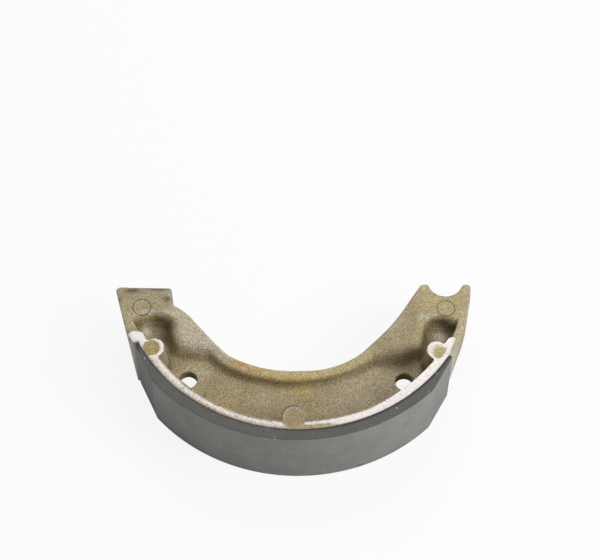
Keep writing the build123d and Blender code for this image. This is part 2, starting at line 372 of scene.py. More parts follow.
# %% Bosses above and the rib below
bosses = ((placed(5.1, 90.0), 4.0), (placed(3.7, 147.0), 3.55), (placed(4.4, 32.1), 3.5))
rib_x = 0.9
rib_nose_y = 53.6
for center, boss_radius in bosses:
    boss = raised(point_distance(center) - boss_radius, np.full_like(gx, mid), above, 4, 0.12)
    upper = joined(upper, boss, 0.9)
end_flat = raised(point_distance((52.4, 27.7)) - 1.8, np.full_like(gx, mid), above, 8, 0.12)
upper = joined(upper, end_flat, 0.3)
rib_flat = np.hypot(gx - rib_x, gy - np.maximum(gy, rib_nose_y)) - 2.4
lower = joined(lower, raised(rib_flat, np.full_like(gx, mid), below, 11.5, 0.4), 2.2)
metal = np.concatenate([upper, lower], axis=2)
level = depth[None, None, :]
print("bosses", len(bosses))

# %% [markdown]
# Now metal is taken away. The hollows under the shoulders save weight, and their walls lean well so that
# the core comes out. A boolean for each cut would need its own bevel. As a distance, a cut and the round
# of its edge are one line.

# %% Hollows under the shoulders
hollow_corners = (placed(14.6, 153.3), placed(16.8, 26.7))
hollow_length = 24.0
hollow_roof = 9.6
hollow_lean = 14.0
for (corner_x, corner_y), side in zip(hollow_corners, (1, -1)):
    far_x = corner_x + side * hollow_length
    box = [(corner_x, corner_y), (corner_x, -20.0), (far_x, -20.0), (far_x, corner_y)]
    walls = outline_distance(rounded(box, 2.5))[..., None]
    walls = walls - (level - hollow_roof) * np.tan(np.radians(hollow_lean))
    metal = cut(metal, common(walls, hollow_roof - level, 3.2), 1.0)
print("hollows", len(hollow_corners), "with their roof at", hollow_roof, "mm")

# %% [markdown]
# The plan trims everything to the outline, with soft edges along the bead and nearly sharp ones at the
# lining. The two horns beside the anchor pin end level and rounded. The waist is a little fuller than its
# plain arc, so the outline is set out there. It could be a Solidify of a drawn face, but one distance
# also carries the changing rounds.

# %% Trimming to the plan
pin_bore = 6.05
horn_round = 1.3
pin_reach = point_distance(pin_center)
plan_distance = common(plan_distance, horn[1] - gy, horn_round)
plan_distance = cut(plan_distance, pin_reach - pin_bore, 0.8)
inner_zone = 1 - smooth(np.abs(gx), 34, 42)
outer_zone = smooth(radius, 56.5, 59.5)
tip_zone = smooth(-gy, -29.6, -28.6) * smooth(-np.abs(gx), -60.0, -58.0)
edge_round = (0.4 + 0.1 * inner_zone) * (1 - outer_zone) + (0.12 + 0.5 * tip_zone) * outer_zone
waist_shift = 0.65 * (1 - smooth(np.abs(gx + 9.0), 9.0, 21.0)) * (1 - outer_zone)
metal = common(metal, (plan_distance - waist_shift)[..., None], edge_round[..., None])
print("waist set out by up to", round(float(waist_shift.max()), 2), "mm")

# %% [markdown]
# The outer side of the cam end leans, so that the two halves of the mould part there. Its vertices could
# be dragged outwards on a finished mesh. As a distance it is a line through the plan plus a slope along
# the depth, and its edge keeps one round all along.

# %% Leaning side of the cam end
along = unit(np.array(side_foot) - np.array(side_top))
side_slope = np.tan(np.radians(2.2))


def beyond_side(x_place, y_place):
    """Distance of a place of the plan beyond the line from side_top to side_foot."""
    return -((x_place - side_top[0]) * along[1] - (y_place - side_top[1]) * along[0])


metal = common(metal, beyond_side(gx, gy)[..., None] + level * side_slope, 0.35)
print("share of the block that is metal", round(float((metal < 0).mean()), 3))

# %% [markdown]
# The anchor pin sits in a half-round notch with a wider mouth on the lower side, and the return springs
# hook into two holes. The ejector pins of the mould left shallow discs on the bosses. A small relief and
# a nick lie beside the cam pad. Drilled with booleans, their rims would be sharp. Cut as distances, each
# rim keeps the small round that a mould leaves.

# %% Notch, holes and small cuts
mouth_depth = 8.0
mouth_wall = pin_reach[..., None] - 6.7
metal = cut(metal, common(mouth_wall, lower_end - mouth_depth - level, 0.3), 0.25)
metal = cut(metal, (mouth_wall - (level - lower_end + 0.9)) * np.sqrt(0.5), 0.1)

spring_holes = (placed(8.7, 134.8), placed(8.9, 44.1))
spring_hole_radius = 3.15
for hole in spring_holes:
    metal = cut(metal, point_distance(hole)[..., None] - spring_hole_radius, 0.45)

disc_marks = (
    (placed(5.1, 90.0), 3.6, 0.22),
    (placed(2.7, 147.4), 2.9, 0.22),
    (placed(3.5, 32.3), 2.8, 0.12),
)
for center, disc_radius, disc_depth in disc_marks:
    flat = point_distance(center)[..., None] - disc_radius
    metal = cut(metal, common(flat, level - disc_depth, 0.05), 0.05)

relief = outline_distance([(-43.0, 5.4), (-45.3, 10.4), (-43.0, 11.6)])[..., None]
relief_depth = 3.5
metal = cut(metal, common(relief, lower_end - relief_depth - level, 0.3), 0.25)
nick = outline_distance([(-43.2, 6.6), (-46.5, 9.5), (-43.2, 10.2)])[..., None]
nick_depth = 0.5
metal = cut(metal, common(nick, level - upper_end - nick_depth, 0.15), 0.2)
metal = metal.astype(np.float32)
print("spring holes", len(spring_holes), "discs", len(disc_marks))

# %% [markdown]
# The surface goes where the distance changes sign. Blender's Volume to Mesh could find it, but it blunts
# every edge. So the first step notes where the surface crosses the edges of the block, and which way it
# faces there.

# %% Crossed edges of the block


def crossings(field, axis, slopes, coordinates):
    """Where the field changes sign along one axis: t = fa / (fa - fb) of the way between two points."""
    low = [slice(None)] * 3
    high = [slice(None)] * 3
    low[axis] = slice(None, -1)
    high[axis] = slice(1, None)
    where = np.argwhere((field[tuple(low)] < 0) != (field[tuple(high)] < 0))
    other = where.copy()
    other[:, axis] += 1
    fa = field[tuple(where.T)]
    fb = field[tuple(other.T)]
    t = (fa / (fa - fb))[:, None]
    pa = np.stack([coordinates[k][where[:, k]] for k in range(3)], axis=-1)
    pb = np.stack([coordinates[k][other[:, k]] for k in range(3)], axis=-1)
    na = np.stack([slope[tuple(where.T)] for slope in slopes], axis=-1)
    nb = np.stack([slope[tuple(other.T)] for slope in slopes], axis=-1)
    return where, pa + t * (pb - pa), unit(na + t * (nb - na)), fa < 0


print("largest distance in the block", round(float(metal.max()), 1), "mm")

# %% [markdown]
# Each small cell of the block then takes the one point that lies on the planes of all its crossed edges.
# That keeps the milled edges sharp, where the mean of the crossings would blunt them. A plane touches
# four cells, and bincount adds up what each cell gets without a loop over the cells.

# %% Planes that meet in a cell


def add_planes(sums, index, p, n, total):
    """Adds to the cells in index their count, and their sums of p, of n (n.p) and of n n^T."""
    plane = (n * p).sum(axis=1)
    terms = {"count": np.ones(len(p))}
    for i in range(3):
        terms["p", i] = p[:, i]
        terms["b", i] = n[:, i] * plane
        for j in range(i, 3):
            terms["a", i, j] = n[:, i] * n[:, j]
    for key, value in terms.items():
        sums[key] = sums.get(key, 0) + np.bincount(index, np.tile(value, 4), minlength=total)


def meeting_points(sums, used, weight=0.05):
    """The point x of every used cell that is nearest to its planes n.(x - p) = 0.

    It solves (sum n n^T + w I) x = sum n (n.p) + w m. Here m is the mean of the points p, and w is a small
    weight that keeps x near m where all planes agree.
    """
    count = sums["count"][used]
    mean = np.stack([sums["p", i][used] / count for i in range(3)], axis=-1)
    matrix = np.empty((len(used), 3, 3))
    for i in range(3):
        for j in range(3):
            matrix[:, i, j] = sums["a", min(i, j), max(i, j)][used]
    matrix += weight * np.eye(3)
    right = np.stack([sums["b", i][used] for i in range(3)], axis=-1) + weight * mean
    return np.linalg.solve(matrix, right[..., None])[..., 0]


print("cells of the block", int((np.array(metal.shape) - 1).prod()))

# %% [markdown]
# The four cells round a crossed edge make one face, and the side on which the metal lies says which way
# round its corners go. Marching cubes would put its corners on the edges of the block instead, and would
# cut every sharp edge off.

# %% From the block of points to a mesh


def dual_mesh(field, coordinates):
    """One vertex in every cell that the surface field = 0 passes, and one quad per crossed edge."""
    slopes = np.gradient(field, *coordinates)
    cells = np.array(field.shape) - 1
    total = int(cells.prod())
    sums = {}
    quads = []
    for axis in range(3):
        where, p, n, leaving = crossings(field, axis, slopes, coordinates)
        first, second = [k for k in range(3) if k != axis]
        corners = []
        for da, db in ((-1, -1), (0, -1), (0, 0), (-1, 0)):
            cell = where.copy()
            cell[:, first] += da
            cell[:, second] += db
            corners.append((cell[:, 0] * cells[1] + cell[:, 1]) * cells[2] + cell[:, 2])
        quad = np.stack(corners, axis=-1)
        flip = leaving if axis == 1 else ~leaving
        quads.append(np.where(flip[:, None], quad[:, ::-1], quad))
        add_planes(sums, np.concatenate(corners), p, n, total)
    used = np.flatnonzero(sums["count"])
    index = np.stack(np.unravel_index(used, cells), axis=-1)
    low = np.stack([coordinates[k][index[:, k]] for k in range(3)], axis=-1)
    high = np.stack([coordinates[k][index[:, k] + 1] for k in range(3)], axis=-1)
    number = np.full(total, -1)
    number[used] = np.arange(len(used))
    return np.clip(meeting_points(sums, used), low, high), number[np.concatenate(quads)]


points, quads = dual_mesh(metal, (x, y, depth))
print("casting vertices", len(points), "faces", len(quads))

# %% [markdown]
# A finish needs to know more than a place. Dirt and golden residue gather in corners, which also get
# painted shade, and outer edges get a lighter tone for wear and as a painted highlight. So the share of
# metal in a small box round each vertex is measured: half on a flat face, more in a corner, less on an
# outer edge. Cycles has a pointiness for this, but it only looks as far as the next vertices. A running
# sum gives all the means at once.

# %% Corners of the casting


def box_mean(values, size, axis):
    """Mean over 2 size + 1 neighbours along one axis, from differences of a running sum."""
    pads = [(0, 0)] * 3
    pads[axis] = (size + 1, size)
    total = np.cumsum(np.pad(values, pads, mode="edge"), axis=axis)
    count = values.shape[axis]
    first = [slice(None)] * 3
    last = [slice(None)] * 3
    first[axis] = slice(0, count)
    last[axis] = slice(2 * size + 1, 2 * size + 1 + count)
    return (total[tuple(last)] - total[tuple(first)]) / (2 * size + 1)


filled = (metal < 0).astype(np.float32)
for axis, size in enumerate((6, 6, 5)):
    filled = box_mean(filled, size, axis)
nearest = [np.clip(np.searchsorted(c, points[:, k]), 0, len(c) - 1) for k, c in enumerate((x, y, depth))]
corner_share = filled[tuple(nearest)]
print("corner share from", round(float(corner_share.min()), 2), "to", round(float(corner_share.max()), 2))

# %% [markdown]
# The edges of the table and the bosses were milled, so the metal is bare exactly at the two outer levels.
# A mask painted by hand would follow them roughly. A rule about levels fits each vertex. The cutter went
# deep at the right and only grazed the left side, and it missed the middle boss.

# %% Milled faces
px, py, pz = points.T
upper_part = pz < mid
vertex_radius = np.hypot(px, py)
middle_boss, left_boss, right_boss = [center for center, boss_radius in bosses]
left_disc, right_disc = [center for center, disc_radius, disc_depth in disc_marks[1:]]


def away(center):
    """Distance of every vertex from a point of the plan."""
    return np.hypot(px - center[0], py - center[1])


bare = smooth(np.abs(pz - mid), mid - 0.07, mid - 0.02)
grazed = np.interp(px, (-52.0, -49.5, -4.0, 12.0, 24.0), (1.0, 0.57, 0.57, 0.60, 0.95))
outer_half = np.clip((vertex_radius - 58.6) / 2.2, 0, 1)
grazed = grazed - 0.26 * outer_half**2 * (grazed < 0.9)
on_left_boss = 1 - smooth(away(left_boss), 3.4, 3.8)
bare = bare * np.where(upper_part, np.maximum(grazed, on_left_boss), 1.0)
bare = bare * np.where(upper_part, smooth(away(middle_boss), 4.2, 4.7), 1.0)
print("vertices on milled faces", int((bare > 0.5).sum()))

# %% [markdown]
# The cutter also left places out. A strip of the outer rim stayed dull in the middle, and so did a thin
# uneven strip along the inner rim. The disc on the right boss is bare again but for one patch. Each of
# them could be a brush stroke, but as a soft mask it stays where it is when the mesh changes.

# %% Places that the cutter left
outer_strip = smooth(vertex_radius, 59.0, 59.8)
strip_reach = smooth(px, -3.0, 2.0) * (1 - smooth(px, 9.0, 15.0))
bare = bare * (1 - 0.8 * outer_strip * strip_reach * upper_part)
unmilled_places = (-46, -38, -10, -4, 4, 12, 25, 30, 35)
unmilled = np.interp(px, unmilled_places, (0, 0.6, 0.8, 0.6, 0.3, 0.3, 0.8, 0.5, 0))
inner_strip = 1 - smooth(vertex_radius - table_inner - unmilled, -0.1, 0.35)
bare = bare * (1 - 0.85 * inner_strip * (unmilled > 0) * upper_part * (away(left_boss) > 3.9))
bare = bare * (1 - 0.25 * (away(right_boss) < 3.7) * upper_part)
on_right_disc = (1 - smooth(away(right_disc), 2.9, 3.1)) * (1 - smooth(pz, 0.1, 0.3))
right_patch = (1 - smooth(away((49.2, 31.2)), 1.0, 3.6)) * (1 - smooth(vertex_radius, 58.6, 59.4))
bare = np.maximum(bare, 0.62 * on_right_disc) * (1 - 0.75 * right_patch)
print("vertices that are still bare", int((bare > 0.5).sum()))

# %% [markdown]
# The tone of the cast skin changes over the part. It is brown on the web, paler on the raised cam
# shoulder and golden along the middle of the bead and at the anchor end. Vertex paint could hold this.
# Soft spots with a place and a size do the same, and they can be read and moved. The grain on top of them
# will come from noise.

# %% Pale and golden metal


def spot(center, size):
    """1 at the centre and falling smoothly to 0 at the size along each axis: exp(-2 r^2)."""
    return np.exp(-2 * sum(((c - m) / s) ** 2 for c, m, s in zip((px, py, pz), center, size)))


def strongest(*layers):
    """The largest of several tones at each vertex."""
    return np.maximum.reduce(layers)


over_web = np.abs(pz - mid)
on_bead = 1 - smooth(vertex_radius, 50.0, 54.0)
on_top = smooth(over_web, 2.6, 4.6) * np.where(np.abs(px) < 38.0, on_bead, 1.0)
on_left_disc = (1 - smooth(away(left_disc), 2.7, 3.0)) * (1 - smooth(pz, 0.3, 0.6))
pale_places = (-60, -46, -41, -24, -12, 0, 16, 30, 44)
pale_along = np.interp(px, pale_places, (0.18, 0.18, 0.68, 0.72, 0.30, 0.0, 0.25, 0.20, 0))
pale = strongest(
    pale_along * on_top,
    0.28 * smooth(px, 6.0, 22.0) * (1 - on_top),
    0.5 * spot((-34.0, 34.5, 11.7), (7.0, 3.5, 2.0)),
    0.45 * spot((22.0, 36.5, 11.7), (9.0, 2.5, 2.0)),
    0.35 * smooth(px, 38.0, 44.0) * smooth(over_web, 5.0, 7.0),
)
gold_and_highlight = strongest(
    0.85 * smooth(over_web, 3.4, 4.8) * (1 - smooth(np.abs(px - 1.0), 14.0, 30.0)) * on_bead,
    spot((1.5, 36.2, 9.0), (7.5, 2.2, 3.0)),
    0.8 * spot((13.0, 35.0, 9.3), (6.0, 1.6, 3.0)),
    spot((2.5, 40.2, 11.2), (6.0, 3.2, 3.5)),
    0.4 * spot((-25.0, 45.5, 11.7), (7.0, 4.5, 3.0)),
    0.40 * smooth(px, 38.0, 44.0) * smooth(over_web, 5.0, 7.0),
    # A painted highlight on the rim of the left cam pocket.
    spot((-48.5, 15.2, 7.2), (8.5, 2.8, 3.4)),
    0.8 * on_left_disc,
    0.1 * (1 - smooth(away(middle_boss), 4.0, 4.3)) * (1 - smooth(pz, 0.3, 0.6)),
)
print("mean of pale", round(float(pale.mean()), 3), "and of gold", round(float(gold_and_highlight.mean()), 3))

# %% [markdown]
# Brown residue settles where metal meets metal, so it follows the share of metal in the corners. It is
# weaker on the cam shoulder and on the middle of the web. The same brown also paints shade into the
# corners, both pockets, under the right shoulder and along the foot of the bead. Noise alone could
# scatter such stains, but it doesn't know where a corner is. Painted highlights in a silvery tone go on
# a few rims and edges, and painted pools of light on the pocket floors. One orange streak runs over the
# bead, with fainter traces elsewhere.

# %% Orange streak, brown residue with painted shade, and painted highlights
orange = strongest(
    spot((-19.2, 32.0, 8.8), (4.2, 1.5, 2.8)),
    0.6 * spot((-14.0, 34.6, 9.0), (3.5, 0.9, 2.0)),
    0.5 * spot((4.0, 60.0, 0.0), (6.0, 1.0, 1.0)),
    0.5 * spot((-29.6, 52.4, 0.0), (3.2, 1.6, 1.0)),
    0.35 * spot((2.0, 38.6, 10.5), (4.0, 1.5, 2.5)),
    0.4 * spot((-61.5, 9.9, 6.3), (1.3, 0.9, 1.5)),
)
# Brown residue in corners, and painted shade in the corners, in both pockets and under the right shoulder.
residue_and_shade = strongest(
    smooth(corner_share, 0.53, 0.72),
    spot((-45.6, 20.8, 11.4), (4.6, 6.0, 4.2)),
    spot((45.0, 20.0, 10.5), (4.0, 6.5, 6.0)),
    spot((36.5, 29.6, 11.2), (11.0, 4.2, 4.0)),
    0.9 * spot((49.5, 14.2, 8.4), (7.0, 1.4, 2.2)),
)
residue_and_shade = residue_and_shade * (1 - 0.55 * smooth(-px, 18.0, 26.0) * (1 - smooth(-px, 40.0, 43.0)))
# The brown is cleared from the rim of the left cam pocket, where a painted highlight goes.
residue_and_shade = residue_and_shade * (1 - spot((-48.5, 15.2, 7.4), (9.5, 3.2, 4.4)))
# Less painted shade along the foot of the bead in the middle.
residue_and_shade = residue_and_shade * (1 - 0.75 * (1 - smooth(np.abs(px), 14.0, 26.0)))
residue_and_shade = np.maximum(residue_and_shade, 0.35 * inner_strip * (unmilled > 0) * (pz < 2.0) * (away(middle_boss) > 4.0))
# The inner side of the middle boss: its dark arc is partly dirt and partly painted shade, its pale line a
# painted highlight.
boss_x, boss_y = middle_boss
boss_arc = 1.15 * smooth(boss_x + 3.0 - px, 0.0, 2.0) * smooth(boss_y - py, -1.5, 0.5) * (pz < 1.0)
# Painted highlights on rims, edges and the left shoulder, and painted pools of light on the pocket floors.
painted_highlight = strongest(
    spot((-52.2, 18.4, 11.0), (2.6, 3.0, 4.0)),
    0.8 * spot((50.0, 18.8, 10.5), (3.0, 3.6, 4.0)),
    0.7 * spot((-33.5, 26.8, 7.5), (4.5, 2.4, 2.5)),
    0.8 * spot((-54.0, 15.6, 6.6), (3.2, 1.0, 1.0)),
    spot((-48.5, 14.2, 6.5), (8.5, 1.8, 2.4)),
    0.5 * np.exp(-(((away(middle_boss) - 3.2) / 0.25) ** 2)) * boss_arc,
    0.9 * spot((43.6, 13.6, 6.6), (2.8, 1.5, 1.5)),
)
residue_and_shade = residue_and_shade * (1 - painted_highlight)
print("mean of brown", round(float(residue_and_shade.mean()), 3), "and of silver", round(float(painted_highlight.mean()), 3))

# %% [markdown]
# The outer sides beyond the lining get painted light, which makes them paler towards the lining, and
# handling left dark smudges on the cam pad. A pit in the web and a dot beside the right boss are dark as
# well. The middle boss has a dark arc on its inner side, partly dirt and partly painted shade along its
# edge, with a painted highlight as a pale line inside it. The floor of the left cam pocket gets painted
# shade. Each of them could be painted on a picture that is laid over the part. Numbers on the vertices
# do as well here, because the mesh is as fine as the smallest mark.

# %% Painted light on the outer sides, dark marks and painted shade
# The outer sides beyond the lining get painted light, paler towards the lining.
beyond = beyond_side(px, py) + pz * side_slope
cam_side = smooth(beyond, -0.5, -0.2) * (px < 0)
outer_side = np.maximum(cam_side, smooth(vertex_radius, 59.9, 60.2) * (px > 0))
outer_side = np.maximum(outer_side, (px < -53.6) & (py > 26.8) & (pz > 0.3))
painted_lit_sides = outer_side * smooth(py, 20.5, 27.5) * np.where(px > 0, smooth(pz, 0.5, 13.0), 1.0)
# Dark smudges, a pit and a dot, with painted shade in the left cam pocket and at the middle boss.
smudges_and_shade = strongest(
    spot((-57.2, 5.3, 6.3), (4.2, 1.6, 3.0)),
    0.9 * spot((-48.5, 4.6, 6.3), (6.5, 1.1, 2.5)),
    spot((-45.0, 8.3, 6.3), (1.9, 1.5, 3.0)),
    spot((-62.0, 9.0, 6.3), (1.7, 1.1, 2.5)),
    spot((-30.65, 43.07, 11.7), (0.9, 0.9, 1.0)),
    spot((44.96, 28.6, 0.1), (0.55, 0.55, 0.6)),
    # Painted shade on the floor of the left cam pocket.
    0.55 * spot((-45.9, 20.6, 11.7), (4.6, 5.0, 3.4)),
    0.5 * spot((-47.8, 18.0, 11.0), (3.8, 2.4, 3.0)),
    np.exp(-(((away(middle_boss) - 3.85) / 0.38) ** 2)) * boss_arc,
    0.25 * on_left_disc,
)
tones = {"bare": bare, "pale": pale, "gold_and_highlight": gold_and_highlight, "orange": orange, "residue_and_shade": residue_and_shade, "painted_highlight": painted_highlight}
tones |= {"painted_lit_sides": painted_lit_sides, "smudges_and_shade": smudges_and_shade, "corner": corner_share}
print("mean tones", {key: round(float(tone.mean()), 3) for key, tone in tones.items()})

# %% [markdown]
# foreach_set copies whole arrays into a mesh in one go, which is far quicker than adding vertices one by
# one. The same helper serves all three pieces: it turns them into the model's own frame, in metres, and
# marks edges sharp where two faces meet at more than forty degrees.

# %% Mesh helper


def make_piece(name, plan_points, faces, values):
    """A smooth closed mesh from points (x, y, depth) in millimetres, with values kept on its vertices."""
    place = np.stack([plan_points[:, 0], -plan_points[:, 1], width - plan_points[:, 2]], axis=-1) * mm
    place = np.clip(place, np.array(cad_box[0]), np.array(cad_box[1])).astype(np.float32)
    mesh = bpy.data.meshes.new(name)
    mesh.vertices.add(len(place))
    mesh.vertices.foreach_set("co", place.ravel())
    counts = np.array([len(face) for face in faces])
    corners = np.concatenate(list(faces))
    mesh.loops.add(len(corners))
    mesh.loops.foreach_set("vertex_index", corners.astype(np.int32))
    mesh.polygons.add(len(counts))
    mesh.polygons.foreach_set("loop_start", (np.cumsum(counts) - counts).astype(np.int32))
    mesh.polygons.foreach_set("use_smooth", np.ones(len(counts), dtype=bool))
    for key, value in values.items():
        layer = mesh.attributes.new(key, "FLOAT", "POINT")
        layer.data.foreach_set("value", np.asarray(value, dtype=np.float32))
    mesh.update(calc_edges=True)
    mesh.set_sharp_from_angle(angle=np.radians(40))
    piece = bpy.data.objects.new(name, mesh)
    bpy.context.scene.collection.objects.link(piece)
    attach(piece, "root")
    return piece


casting = make_piece("cast_shoe", points, quads, tones)
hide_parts("shoe_casting")
print("casting triangles", 2 * len(casting.data.polygons))

# %% [markdown]
# The friction lining is moulded to the radius of the table, cut to length and bonded on. A cylinder could
# be cut down to it. Here one profile, a rectangle with slightly broken edges, is carried round the drum
# axis. Its outer radius comes down along a straight line at each end, which makes the two chamfers that
# ease the lining into the drum.

# %% Profile carried round the drum axis


def ring_rows(angles, inner, outer, broken, across_steps, radial_steps):
    """Rows of angles, and in each row the points of a rectangle whose corners are arcs of radius broken.

    A corner point is centre + sign (half - broken) + broken (cos, sin). Straight sides get points between.
    """
    turn = np.radians(np.concatenate([np.linspace(0, 90, 4) + 90 * k for k in range(4)]))
    sign_r = np.repeat([1, -1, -1, 1], 4)
    sign_z = np.repeat([1, 1, -1, -1], 4)
    center = ((outer + inner) / 2)[:, None]
    half = ((outer - inner) / 2)[:, None]
    radial = center + sign_r * (half - broken) + broken * np.cos(turn)
    across = np.broadcast_to(mid + sign_z * (mid - broken) + broken * np.sin(turn), radial.shape)
    parts = []
    for k, steps in enumerate((radial_steps, across_steps, radial_steps, across_steps)):
        here = slice(4 * k, 4 * k + 4)
        t = np.linspace(0, 1, steps + 2)[1:-1]
        for values in (radial, across):
            a = values[:, 4 * k + 3 : 4 * k + 4]
            b = values[:, (4 * k + 4) % 16 : (4 * k + 4) % 16 + 1]
            parts.append(np.concatenate([values[:, here], a + (b - a) * t], axis=1))
    radial = np.concatenate(parts[0::2], axis=1)
    across = np.concatenate(parts[1::2], axis=1)
    a = np.radians(angles)[:, None]
    return np.stack([radial * np.cos(a), radial * np.sin(a), across], axis=-1)


def ring_faces(rows, columns):
    """Quads between neighbouring rows, and one flat face that closes each end."""
    i = np.arange(rows - 1)[:, None] * columns
    j = np.arange(columns)[None, :]
    k = (j + 1) % columns
    sides = np.stack([i + j, i + columns + j, i + columns + k, i + k], axis=-1).reshape(-1, 4)
    first = np.arange(columns)
    last = (rows - 1) * columns + first[::-1]
    return list(sides) + [first, last]


print("quads on a sweep of 3 rows with 8 points each", len(ring_faces(3, 8)) - 2)

# %% [markdown]
# The straight chamfer is a chord. A line through the points P and Q meets the ray at angle a at the
# radius (P x Q) / (u x (Q - P)), with u the direction of the ray, so the chamfer needs no cutting.
# Numbers on the vertices mark the cut sides, the chamfers, the dark seam along the glue and one small
# chip.

# %% Friction lining
lining_start = 31.6
lining_end = 151.0
chamfer_start = 44.3
chamfer_end = 137.4
tip_radius = bond_radius + 1.2


def chord_radius(angle, p, q):
    """Radius of the line through p and q at each angle: (p x (q - p)) / (u x (q - p))."""
    p = np.array(p)
    d = np.array(q) - p
    a = np.radians(angle)
    return (p[0] * d[1] - p[1] * d[0]) / (np.cos(a) * d[1] - np.sin(a) * d[0])


angles = np.concatenate(
    [
        np.linspace(lining_start, chamfer_start, 20, endpoint=False),
        np.linspace(chamfer_start, chamfer_end, 160, endpoint=False),
        np.linspace(chamfer_end, lining_end, 21),
    ]
)
outer = np.full(len(angles), lining_radius)
near = angles < chamfer_start
far = angles > chamfer_end
for part, tip, foot in ((near, lining_start, chamfer_start), (far, lining_end, chamfer_end)):
    outer[part] = chord_radius(angles[part], polar(tip_radius, tip), polar(lining_radius, foot))
broken_edge = 0.14
rows = ring_rows(angles, np.full(len(angles), bond_radius), outer, broken_edge, 24, 5)
lining_points = rows.reshape(-1, 3)
cut_side = 1 - smooth(np.minimum(lining_points[:, 2], width - lining_points[:, 2]), 0.02, broken_edge)
from_axis = np.hypot(lining_points[:, 0], lining_points[:, 1])
seam_along = np.interp(lining_points[:, 0], (-50, -10, 5, 20), (0.25, 0.4, 0.7, 1.0))
seam = (1 - smooth(from_axis, 61.3, 61.9)) * seam_along
seam = np.maximum(seam, 0.85 * smooth(-lining_points[:, 0], 52.4, 53.2) * cut_side)
chip = np.exp(-2 * ((lining_points - np.array((22.6, 60.7, 27.4))) ** 2).sum(axis=1) / 1.3**2)
seam = np.maximum(seam, 0.8 * chip)
in_chamfer = np.repeat((near | far).astype(float), rows.shape[1]) * smooth(from_axis, 61.3, 61.5)
lining_values = {"cut_side": cut_side, "seam": seam, "chamfer": in_chamfer}
lining = make_piece("lining", lining_points, ring_faces(*rows.shape[:2]), lining_values)
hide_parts("friction_lining")
print("lining faces", len(lining.data.polygons))

# %% [markdown]
# The adhesive shows as a thin dark line between lining and table. A dark stripe on the casting could
# stand for it. As a piece of its own, 0.15 mm thick, it has the true thickness and comes off with the
# lining. It is the same sweep once more.

# %% Glue line
film_steps = 200
film_angles = np.linspace(lining_start, lining_end, film_steps)
film_inner = np.full(film_steps, table_radius)
film_outer = np.full(film_steps, bond_radius)
film_rows = ring_rows(film_angles, film_inner, film_outer, 0.03, 8, 1)
film = make_piece("glue_line", film_rows.reshape(-1, 3), ring_faces(*film_rows.shape[:2]), {})
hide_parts("bond_film")
print("glue line faces", len(film.data.polygons))

# %% [markdown]
# A finish is a small graph of nodes. It reads Object coordinates, so it is tied to the metal and looks
# the same from every side. The nodes could be laid out by hand in the Shader Editor. Short helpers make
# the same graph in a form that can be read from top to bottom.

# %% Node helpers


class Finish:
    """One material and short calls for its nodes."""

    def __init__(self, name):
        self.material = bpy.data.materials.new(name)
        self.material.use_nodes = True
        self.nodes = self.material.node_tree.nodes
        self.links = self.material.node_tree.links
        self.shader = self.nodes["Principled BSDF"]
        self.place = self.nodes.new("ShaderNodeTexCoord").outputs["Object"]

    def put(self, socket, value):
        """A link where value is another node's output, and a constant elsewhere."""
        if isinstance(value, bpy.types.NodeSocket):
            self.links.new(value, socket)
        elif isinstance(value, tuple):
            socket.default_value = (*value, 1)
        else:
            socket.default_value = value

    def math(self, operation, a, b, clamp=False):
        """One Math node."""
        node = self.nodes.new("ShaderNodeMath")
        node.operation = operation
        node.use_clamp = clamp
        self.put(node.inputs[0], a)
        self.put(node.inputs[1], b)
        return node.outputs[0]

    def ramp(self, value, low, high, start=0.0, end=1.0):
        """A smooth step from start at low to end at high."""
        node = self.nodes.new("ShaderNodeMapRange")
        node.interpolation_type = "SMOOTHSTEP"
        self.put(node.inputs["Value"], value)
        for key, number in (("From Min", low), ("From Max", high), ("To Min", start), ("To Max", end)):
            node.inputs[key].default_value = number
        return node.outputs[0]

    def mix(self, factor, a, b, blend="MIX"):
        """A mix of two colours."""
        node = self.nodes.new("ShaderNodeMix")
        node.data_type = "RGBA"
        node.blend_type = blend
        self.put(node.inputs[0], factor)
        self.put(node.inputs[6], a)
        self.put(node.inputs[7], b)
        return node.outputs[2]

    def value_of(self, name):
        """A number kept on the vertices."""
        node = self.nodes.new("ShaderNodeAttribute")
        node.attribute_name = name
        return node.outputs["Fac"]


print("pieces that wait for a finish", [piece.name for piece in (casting, lining, film)])

# %% [markdown]
# Three looks come back in several finishes or need a few nodes at once: noise for grain and patches, a
# bump for relief that is too fine for the mesh, and the distance from an upright line for round marks.
# Node groups could hold them. Functions are shorter and take their numbers where they are called.

# %% Noise, bumps and round marks


def noise(finish, scale, detail=3.0, rough=0.55, stretch=(1, 1, 1), distortion=0.0):
    """Noise with so many waves per metre, turned so that no flat face lies along its cells."""
    mapping = finish.nodes.new("ShaderNodeMapping")
    mapping.inputs["Scale"].default_value = stretch
    mapping.inputs["Rotation"].default_value = (0.6, 0.45, 0.3)
    finish.links.new(finish.place, mapping.inputs["Vector"])
    node = finish.nodes.new("ShaderNodeTexNoise")
    settings = {"Scale": scale, "Detail": detail, "Roughness": rough, "Distortion": distortion}
    for key, value in settings.items():
        node.inputs[key].default_value = value
    finish.links.new(mapping.outputs[0], node.inputs["Vector"])
    return node.outputs[0]


def bump(finish, height, strength, distance, normal=None):
    """A bump of so many metres."""
    node = finish.nodes.new("ShaderNodeBump")
    node.inputs["Strength"].default_value = strength
    node.inputs["Distance"].default_value = distance
    finish.links.new(height, node.inputs["Height"])
    if normal is not None:
        finish.links.new(normal, node.inputs["Normal"])
    return node.outputs[0]


